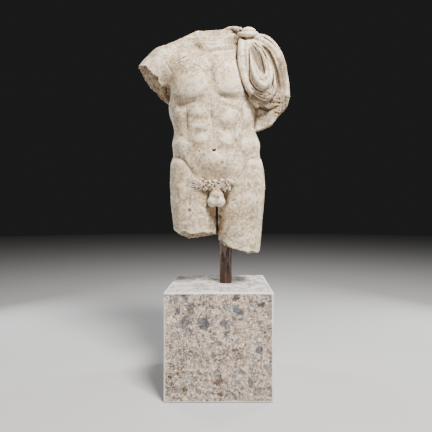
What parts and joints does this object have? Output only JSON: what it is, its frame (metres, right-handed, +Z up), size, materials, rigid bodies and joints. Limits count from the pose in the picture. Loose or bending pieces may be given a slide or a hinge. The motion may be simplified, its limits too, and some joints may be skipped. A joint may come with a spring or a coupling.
{
  "type": "marble torso sculpture on a rod and stone block",
  "caption": "Broken marble torso of a nude youth with a knotted cloak on the left shoulder, held up by a rusty steel rod in a square stone block.",
  "frame": {"origin": "centre of the block's underside", "axes": "+Z up along the rod, the figure faces -Y and its right side is towards -X"},
  "size_m": [0.5927, 0.38, 1.3803],
  "materials": {
    "marble": "weathered cream marble, matt, stained brown in its hollows",
    "rod_steel": "dark rusty steel, matt",
    "block_stone": "sawn conglomerate with blue-grey and brown pebbles, dull"
  },
  "bodies": {
    "root": {"torso": "marble", "rod": "rod_steel", "block": "block_stone"}
  },
  "joints": []
}
